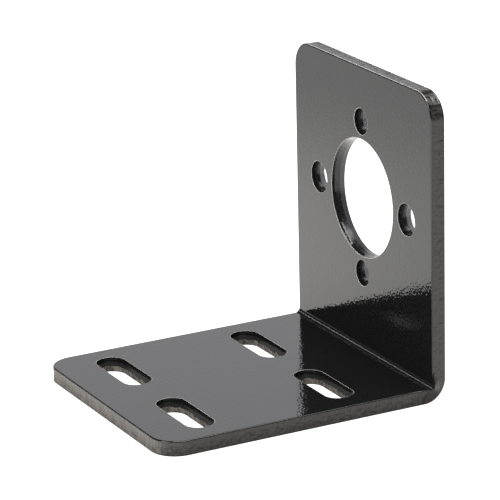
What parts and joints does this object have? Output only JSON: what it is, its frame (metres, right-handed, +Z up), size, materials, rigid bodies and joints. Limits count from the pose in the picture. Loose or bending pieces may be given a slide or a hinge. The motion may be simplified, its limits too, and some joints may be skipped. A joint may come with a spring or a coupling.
{
  "type": "motor mounting bracket",
  "caption": "Right-angle steel plate bracket: a pilot bore and bolt holes in the upright take a motor's face, and slots across the base let it be bolted down and shifted.",
  "frame": {"origin": "middle of the bracket's footprint, on the plane that the base stands on", "axes": "+X across the bracket, +Y from the free end of the base to the back of the upright, +Z up along the upright"},
  "size_m": [0.0906, 0.0996, 0.1],
  "materials": {
    "black_coat": "gloss"
  },
  "bodies": {
    "root": {"bracket": "black_coat"}
  },
  "joints": []
}
